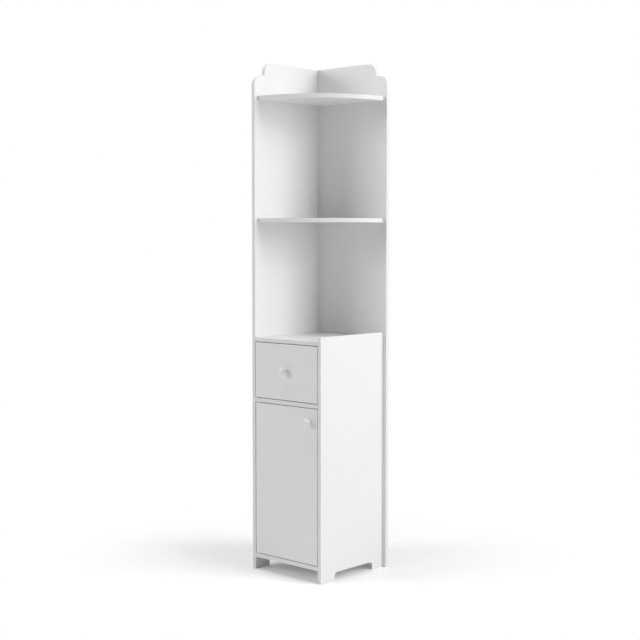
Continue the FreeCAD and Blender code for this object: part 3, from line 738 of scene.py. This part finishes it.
board_low, board_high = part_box("bottom_board")
cam_places, cam_height, cam_radius, *_ = turned_places("cam_discs", ALONG_Z)
cam_settings = {
    "Radius": cam_radius,
    "Height": cam_height,
    "Bore Radius": BORE_RADIUS,
    "Bore Length": 2 * cam_radius,
    "Bore Height": (board_high.z - board_low.z) / 2,
    "Bore Back": BORE_BACK,
    "Slot Length": SLOT_LENGTH,
    "Slot Width": SLOT_WIDTH,
    "Slot Depth": SLOT_DEPTH,
    "Material": CAST_ZINC,
}
make_set("cast_cam_discs", cam_tree, cam_places, cam_settings, "carcass", "cam_discs")
finish_node("cam_bolts", SCREW_ZINC)

BEECH = "#DDBD94"
BEECH_FLECK = "#B98E60"
FLUTES = 18
FLUTE_TO_RADIUS = 0.9
DOWEL_CHAMFER = 1.2 * MM
DOWEL_END_SHARE = 0.75
DOWEL_RINGS = 24


def raw_beech(name, grain_axis):
    """Turned beech left raw: a warm pale tan with short darker flecks along the grain, quite matt."""
    fleck_width = 0.5 * MM
    fleck_length = 4 * MM
    fleck_edges = (0.42, 0.72)
    sheen = (0.55, 0.7)

    material, tree, shader = new_material(name, ior=1.5)
    place = add_node(tree, "ShaderNodeTexCoord")
    stretch = [1 / (fleck_length if axis == grain_axis else fleck_width) for axis in "XYZ"]
    along_grain = add_node(
        tree,
        "ShaderNodeMapping",
        {"Vector": place.outputs["Object"], "Scale": stretch},
    )
    flecks = add_node(
        tree,
        "ShaderNodeTexNoise",
        {"Vector": along_grain.outputs["Vector"], "Scale": 1.0, "Detail": 3.0},
    )
    depth = add_node(
        tree,
        "ShaderNodeMapRange",
        {"Value": flecks.outputs["Fac"], "From Min": fleck_edges[0], "From Max": fleck_edges[1]},
    )
    colour = add_node(
        tree,
        "ShaderNodeMix",
        {"Factor": depth.outputs["Result"], "A": linear(BEECH), "B": linear(BEECH_FLECK)},
        data_type="RGBA",
    )
    roughness = add_node(
        tree,
        "ShaderNodeMapRange",
        {"Value": flecks.outputs["Fac"], "To Min": sheen[0], "To Max": sheen[1]},
    )
    wire_finish(shader, colour, roughness, flecks.outputs["Fac"], strength=0.4, depth=0.05 * MM)
    return material


# A dowel is a star-shaped section swept along a line, drawn in at both ends
dowel_tree, given = new_tree("fluted_dowel", ["Radius", "Length", "Flute Radius", "Chamfer"])
section = add_node(
    dowel_tree,
    "GeometryNodeCurveStar",
    {"Points": FLUTES, "Inner Radius": given["Flute Radius"], "Outer Radius": given["Radius"]},
)
far_end = add_node(dowel_tree, "ShaderNodeCombineXYZ", {"Z": given["Length"]})
line = add_node(
    dowel_tree,
    "GeometryNodeCurvePrimitiveLine",
    {"Start": [0, 0, 0], "End": far_end.outputs["Vector"]},
)
rings = add_node(
    dowel_tree,
    "GeometryNodeResampleCurve",
    {"Curve": line.outputs["Curve"], "Count": DOWEL_RINGS},
)
run = add_node(dowel_tree, "GeometryNodeSplineParameter")
left_over = add_node(
    dowel_tree,
    "ShaderNodeMath",
    {0: given["Length"], 1: run.outputs["Length"]},
    operation="SUBTRACT",
)
to_end = add_node(
    dowel_tree,
    "ShaderNodeMath",
    {0: run.outputs["Length"], 1: left_over.outputs["Value"]},
    operation="MINIMUM",
)
taper = add_node(
    dowel_tree,
    "ShaderNodeMapRange",
    {
        "Value": to_end.outputs["Value"],
        "From Max": given["Chamfer"],
        "To Min": DOWEL_END_SHARE,
        "To Max": 1.0,
    },
)
dowel = add_node(
    dowel_tree,
    "GeometryNodeCurveToMesh",
    {
        "Curve": rings.outputs["Curve"],
        "Profile Curve": section.outputs["Curve"],
        "Scale": taper.outputs["Result"],
        "Fill Caps": True,
    },
)
set_out(dowel_tree, given, dowel.outputs["Mesh"])


def press_dowels(name, axis, wood, body):
    """Fluted dowels in the places of a frame node's plain ones."""
    places, length, radius, *_ = turned_places(name, axis)
    settings = {
        "Radius": radius,
        "Length": length,
        "Flute Radius": radius * FLUTE_TO_RADIUS,
        "Chamfer": DOWEL_CHAMFER,
        "Material": wood,
    }
    make_set(f"fluted_{name}", dowel_tree, places, settings, body, name)


press_dowels("carcass_dowels", ALONG_X, raw_beech("raw_beech_x", "X"), "carcass")

# Drawer runners: two strips of white polypropylene with a round nose, moulded with a fine matt
# texture and screwed to the inner faces of the left and the low side panel.

POLYPROPYLENE_PALE = "#EDEDE9"
POLYPROPYLENE_DEEP = "#E6E6E1"


def moulded_plastic(name, pale, deep, ior, sheen):
    """Injection-moulded plastic with a slightly uneven tone and the fine sparked texture of the
    mould, which takes the shine off it."""
    flow_size = 22 * MM
    # The sparks are really about 0.1 mm wide, and are drawn coarser so that they show
    spark_size = 0.6 * MM

    material, tree, shader = new_material(name, ior)
    place = add_node(tree, "ShaderNodeTexCoord")
    flow = add_node(
        tree,
        "ShaderNodeTexNoise",
        {"Vector": place.outputs["Object"], "Scale": 1 / flow_size, "Detail": 2.0},
    )
    sparks = add_node(
        tree,
        "ShaderNodeTexVoronoi",
        {"Vector": place.outputs["Object"], "Scale": 1 / spark_size},
    )
    colour = add_node(
        tree,
        "ShaderNodeMix",
        {"Factor": flow.outputs["Fac"], "A": linear(pale), "B": linear(deep)},
        data_type="RGBA",
    )
    roughness = add_node(
        tree,
        "ShaderNodeMapRange",
        {"Value": sparks.outputs["Distance"], "To Min": sheen[0], "To Max": sheen[1]},
    )
    wire_finish(shader, colour, roughness, sparks.outputs["Distance"], strength=0.3, depth=0.03 * MM)
    return material


WHITE_POLYPROPYLENE = moulded_plastic(
    "white_polypropylene",
    POLYPROPYLENE_PALE,
    POLYPROPYLENE_DEEP,
    ior=1.49,
    sheen=(0.42, 0.55),
)

for name in ("left_runner", "right_runner"):
    finish_node(name, WHITE_POLYPROPYLENE)
drive_screws("runner_screws", ALONG_X, "carcass")

# Drawer: a lacquered fibreboard front, two grooved sides and a back, joined by dowels and screws.
# The bottom slides into grooves: thin hardboard with a white face above and bare brown fibre below.

HARDBOARD_WHITE = "#EFEEEC"
HARDBOARD_BROWN = "#8C6A48"
HARDBOARD_DARK = "#6F5136"
# A wave texture of scale 1 repeats after this length
WAVE_PERIOD = math.pi / 10
DRAWER_AXES = {
    "drawer_front": "Y",
    "drawer_left_side": "X",
    "drawer_right_side": "X",
    "drawer_back": "Y",
}


def faced_hardboard(name):
    """Pressed hardboard: the upper face is a smooth white coat with faint specks, and the rest is
    brown fibre with the screen's imprint that wet-pressed board has on its back."""
    coat_sheen = 0.4
    fibre_sheen = 0.85
    fibre_size = 3 * MM
    # The screen's wires are really 1 mm apart, and are drawn coarser so that they show
    wire_spacing = 3 * MM

    material, tree, shader = new_material(name, ior=1.5)
    place = add_node(tree, "ShaderNodeTexCoord")
    normal = add_node(tree, "ShaderNodeSeparateXYZ", {"Vector": place.outputs["Normal"]})
    coated = add_node(
        tree,
        "ShaderNodeMapRange",
        {"Value": normal.outputs["Z"], "From Min": EDGE_SLOPE, "From Max": FACE_SLOPE},
    )
    fibre = add_node(
        tree,
        "ShaderNodeTexNoise",
        {"Vector": place.outputs["Object"], "Scale": 1 / fibre_size, "Detail": 5.0},
    )
    wires = []
    for direction in "XY":
        wire = add_node(
            tree,
            "ShaderNodeTexWave",
            {
                "Vector": place.outputs["Object"],
                "Scale": WAVE_PERIOD / wire_spacing,
                "Distortion": 0.4,
            },
            bands_direction=direction,
        )
        wires.append(wire.outputs["Fac"])
    screen = add_node(tree, "ShaderNodeMath", {0: wires[0], 1: wires[1]}, operation="MULTIPLY")
    brown = add_node(
        tree,
        "ShaderNodeMix",
        {"Factor": fibre.outputs["Fac"], "A": linear(HARDBOARD_BROWN), "B": linear(HARDBOARD_DARK)},
        data_type="RGBA",
    )
    specked = add_node(
        tree,
        "ShaderNodeMix",
        {"Factor": fibre.outputs["Fac"], "A": linear(HARDBOARD_WHITE), "B": linear(LACQUER_CLOUD)},
        data_type="RGBA",
    )
    colour = add_node(
        tree,
        "ShaderNodeMix",
        {
            "Factor": coated.outputs["Result"],
            "A": brown.outputs["Result"],
            "B": specked.outputs["Result"],
        },
        data_type="RGBA",
    )
    roughness = add_node(
        tree,
        "ShaderNodeMix",
        {"Factor": coated.outputs["Result"], "A": fibre_sheen, "B": coat_sheen},
    )
    relief = add_node(
        tree,
        "ShaderNodeMix",
        {"Factor": coated.outputs["Result"], "A": screen.outputs["Value"], "B": fibre.outputs["Fac"]},
    )
    wire_finish(shader, colour, roughness, relief.outputs["Result"], strength=0.3, depth=0.08 * MM)
    return material


for name, axis in DRAWER_AXES.items():
    finish_node(name, BOARD_FINISHES[axis])
finish_node("drawer_bottom", faced_hardboard("faced_hardboard"))
press_dowels("drawer_dowels", ALONG_Y, raw_beech("raw_beech_y", "Y"), "drawer")
drive_screws("drawer_back_screws", ALONG_X, "drawer")

# Door: one lacquered board set flush in its opening. Two zinc-plated pins, one in each end near its
# left edge, turn in flanged nylon bushes that are pressed into the divider and the bottom board.

NYLON_PALE = "#EDE8DB"
NYLON_DEEP = "#E4DECE"
NYLON_SCATTER = 0.2
NYLON_SCATTER_DEPTH = 1 * MM

finish_node("door", BOARD_FINISHES["Y"])
# Natural nylon is a milky off-white that lets a little light in
NATURAL_NYLON = moulded_plastic(
    "natural_nylon",
    NYLON_PALE,
    NYLON_DEEP,
    ior=1.53,
    sheen=(0.38, 0.5),
)
nylon_shader = NATURAL_NYLON.node_tree.nodes["Principled BSDF"]
nylon_shader.inputs["Subsurface Weight"].default_value = NYLON_SCATTER
nylon_shader.inputs["Subsurface Scale"].default_value = NYLON_SCATTER_DEPTH
for end in ("upper", "lower"):
    finish_node(f"{end}_pivot_pin", SCREW_ZINC)
    finish_node(f"{end}_pivot_bush", NATURAL_NYLON)

# Knobs: mushrooms turned in wood and sprayed with white gloss lacquer, one in the middle of the
# drawer and one high on the door's free side, each held by a machine bolt from inside.

BOLT_PITCH = 0.7 * MM
BOLT_POINT_SHARE = 0.4


def gloss_lacquer(name, knob):
    """Gloss lacquer on a turned knob: a bright white, smooth enough for soft highlights, over the
    faint rings that the lathe left round the knob's axis."""
    sheen = (0.24, 0.34)
    spray_size = 9 * MM
    # The lathe's rings are really about 0.2 mm apart, and are drawn coarser so that they show
    ring_spacing = 1.2 * MM

    material, tree, shader = new_material(name, ior=1.5)
    low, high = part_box(knob)
    middle = (low + high) / 2
    place = add_node(tree, "ShaderNodeTexCoord")
    centred = add_node(
        tree,
        "ShaderNodeMapping",
        {"Vector": place.outputs["Object"], "Location": -middle},
    )
    rings = add_node(
        tree,
        "ShaderNodeTexWave",
        {
            "Vector": centred.outputs["Vector"],
            "Scale": WAVE_PERIOD / ring_spacing,
            "Distortion": 0.3,
        },
        wave_type="RINGS",
        rings_direction="Y",
    )
    spray = add_node(
        tree,
        "ShaderNodeTexNoise",
        {"Vector": centred.outputs["Vector"], "Scale": 1 / spray_size, "Detail": 2.0},
    )
    colour = add_node(
        tree,
        "ShaderNodeMix",
        {"Factor": spray.outputs["Fac"], "A": linear(WHITE_LACQUER), "B": linear(LACQUER_CLOUD)},
        data_type="RGBA",
    )
    roughness = add_node(
        tree,
        "ShaderNodeMapRange",
        {"Value": spray.outputs["Fac"], "To Min": sheen[0], "To Max": sheen[1]},
    )
    wire_finish(shader, colour, roughness, rings.outputs["Fac"], strength=0.2, depth=0.02 * MM)
    return material


for body in ("drawer", "door"):
    finish_node(f"{body}_knob", gloss_lacquer(f"gloss_lacquer_{body}_knob", f"{body}_knob"))
    drive_screws(f"{body}_knob_bolt", ALONG_Y, body, BOLT_PITCH, BOLT_POINT_SHARE)

# Magnetic catch: a ferrite block between two steel pole plates in a moulded housing, screwed up
# under the divider, and a zinc-plated strike plate pinned to the inside of the door.

FERRITE = "#2A2A2D"
FERRITE_GRIT = "#3E3E41"
ROLLED_STREAK = (14, 1, 1)


def sintered_ferrite(name):
    """Pressed and fired ferrite: a charcoal ceramic, matt, with a fine pale grit."""
    sheen = (0.55, 0.75)
    # The grit is really under 0.1 mm, and is drawn coarser so that it shows
    grit_size = 0.5 * MM

    material, tree, shader = new_material(name, ior=2.0)
    place = add_node(tree, "ShaderNodeTexCoord")
    grit = add_node(
        tree,
        "ShaderNodeTexVoronoi",
        {"Vector": place.outputs["Object"], "Scale": 1 / grit_size},
    )
    colour = add_node(
        tree,
        "ShaderNodeMix",
        {"Factor": grit.outputs["Distance"], "A": linear(FERRITE), "B": linear(FERRITE_GRIT)},
        data_type="RGBA",
    )
    roughness = add_node(
        tree,
        "ShaderNodeMapRange",
        {"Value": grit.outputs["Distance"], "To Min": sheen[0], "To Max": sheen[1]},
    )
    wire_finish(shader, colour, roughness, grit.outputs["Distance"], strength=0.4, depth=0.05 * MM)
    return material


ROLLED_ZINC = grained_metal(
    "zinc_plated_sheet",
    ZINC_COOL,
    ZINC_WARM,
    sheen=(0.28, 0.46),
    streak=ROLLED_STREAK,
)

finish_node("catch_housing", WHITE_POLYPROPYLENE)
finish_node("catch_magnet", sintered_ferrite("sintered_ferrite"))
finish_node("catch_pole_plates", ROLLED_ZINC)
finish_node("strike_plate", ROLLED_ZINC)
drive_screws("catch_screws", ALONG_Z, "carcass")

# Stage: a pale floor that fades to white, soft studio light and the camera of the photograph.
# The floor keeps the shadow under and beside the cabinet; far from it only the white is seen.

PURE_WHITE = "#FFFFFF"
FLOOR_WHITE = "#F4F4F4"
FLOOR_HALF = 20
FLOOR_Z = -0.0004
FOOTPRINT_CENTRE = (0.15, -0.15, 0)
# How far from there the shadow begins to fade, and is gone
SHADOW_KEPT = 0.22
SHADOW_GONE = 0.95
FLOOR_GLOW = 0.12


def seen_directly(tree):
    """A socket that is 1 on camera, mirror and glass rays and 0 on the rays that carry light."""
    ray = add_node(tree, "ShaderNodeLightPath")
    direct = ray.outputs["Is Camera Ray"]
    for name in ("Is Glossy Ray", "Is Transmission Ray"):
        larger = add_node(
            tree,
            "ShaderNodeMath",
            {0: direct, 1: ray.outputs[name]},
            operation="MAXIMUM",
        )
        direct = larger.outputs["Value"]
    return direct


floor_mesh = bpy.data.meshes.new("floor")
floor_mesh.from_pydata(
    [(x * FLOOR_HALF, y * FLOOR_HALF, FLOOR_Z) for x, y in ((-1, -1), (1, -1), (1, 1), (-1, 1))],
    [],
    [(0, 1, 2, 3)],
)
floor = bpy.data.objects.new("floor", floor_mesh)
bpy.context.scene.collection.objects.link(floor)

floor_paint = bpy.data.materials.new("pale_floor")
floor_paint.use_nodes = True
tree = floor_paint.node_tree
tree.nodes.clear()
place = add_node(tree, "ShaderNodeTexCoord")
distance = add_node(
    tree,
    "ShaderNodeVectorMath",
    {0: place.outputs["Object"], 1: list(FOOTPRINT_CENTRE)},
    operation="DISTANCE",
)
whiteness = add_node(
    tree,
    "ShaderNodeMapRange",
    {"Value": distance.outputs["Value"], "From Min": SHADOW_KEPT, "From Max": SHADOW_GONE},
    interpolation_type="SMOOTHERSTEP",
)
direct = seen_directly(tree)
shown_white = add_node(
    tree,
    "ShaderNodeMath",
    {0: direct, 1: whiteness.outputs["Result"]},
    operation="MULTIPLY",
)
shown_glow = add_node(tree, "ShaderNodeMath", {0: direct, 1: FLOOR_GLOW}, operation="MULTIPLY")
paint = add_node(tree, "ShaderNodeBsdfDiffuse", {"Color": linear(FLOOR_WHITE)})
glow = add_node(
    tree,
    "ShaderNodeEmission",
    {"Color": linear(PURE_WHITE), "Strength": shown_glow.outputs["Value"]},
)
near = add_node(
    tree,
    "ShaderNodeAddShader",
    {0: paint.outputs["BSDF"], 1: glow.outputs["Emission"]},
)
white = add_node(tree, "ShaderNodeEmission", {"Color": linear(PURE_WHITE), "Strength": 1.0})
surface = add_node(
    tree,
    "ShaderNodeMixShader",
    {0: shown_white.outputs["Value"], 1: near.outputs["Shader"], 2: white.outputs["Emission"]},
)
add_node(tree, "ShaderNodeOutputMaterial", {"Surface": surface.outputs["Shader"]})
floor_mesh.materials.append(floor_paint)

ROOM_FILL = 0.16

world = bpy.data.worlds.new("studio")
bpy.context.scene.world = world
world.use_nodes = True
tree = world.node_tree
tree.nodes.clear()
fill = add_node(tree, "ShaderNodeBackground", {"Color": linear(PURE_WHITE), "Strength": ROOM_FILL})
white = add_node(tree, "ShaderNodeBackground", {"Color": linear(PURE_WHITE), "Strength": 1.0})
backdrop = add_node(
    tree,
    "ShaderNodeMixShader",
    {0: seen_directly(tree), 1: fill.outputs["Background"], 2: white.outputs["Background"]},
)
add_node(tree, "ShaderNodeOutputWorld", {"Surface": backdrop.outputs["Shader"]})

LAMP_TARGET = Vector((0.15, -0.15, 0.8))
LAMP_DISTANCE = 5


def softbox(name, azimuth, elevation, size, power):
    """A square lamp that faces the cabinet. Azimuth 0 is +X and 90 is +Y, in degrees."""
    turn, rise = math.radians(azimuth), math.radians(elevation)
    level = math.cos(rise)
    away = Vector((math.cos(turn) * level, math.sin(turn) * level, math.sin(rise)))
    lamp = bpy.data.lights.new(name, "AREA")
    lamp.size = size
    lamp.energy = power
    lamp_object = bpy.data.objects.new(name, lamp)
    lamp_object.location = LAMP_TARGET + away * LAMP_DISTANCE
    lamp_object.rotation_euler = (-away).to_track_quat("-Z", "Y").to_euler()
    bpy.context.scene.collection.objects.link(lamp_object)


softbox("right_low_softbox", azimuth=15, elevation=15, size=3.0, power=105)
softbox("right_high_softbox", azimuth=15, elevation=35, size=3.0, power=89)
softbox("front_left_softbox", azimuth=235, elevation=21, size=2.0, power=78)
softbox("left_softbox", azimuth=180, elevation=35, size=3.0, power=50)
softbox("overhead_softbox", azimuth=270, elevation=85, size=3.0, power=96)

CAMERA_LENS = 71.66
CAMERA_SENSOR = 36
CAMERA_SHIFT = -0.015
CAMERA_PLACE = (2.8091, -3.0640, 1.0309)
# In degrees, down from level and left of +Y
CAMERA_TILT = 3.254
CAMERA_HEADING = 42.411

camera_data = bpy.data.cameras.new("camera")
camera_data.lens = CAMERA_LENS
camera_data.sensor_width = CAMERA_SENSOR
camera_data.shift_y = CAMERA_SHIFT
camera = bpy.data.objects.new("camera", camera_data)
camera.location = CAMERA_PLACE
camera.rotation_euler = (math.radians(90 - CAMERA_TILT), 0, math.radians(CAMERA_HEADING))
bpy.context.scene.collection.objects.link(camera)
bpy.context.scene.camera = camera
bpy.context.scene.view_settings.view_transform = "Standard"
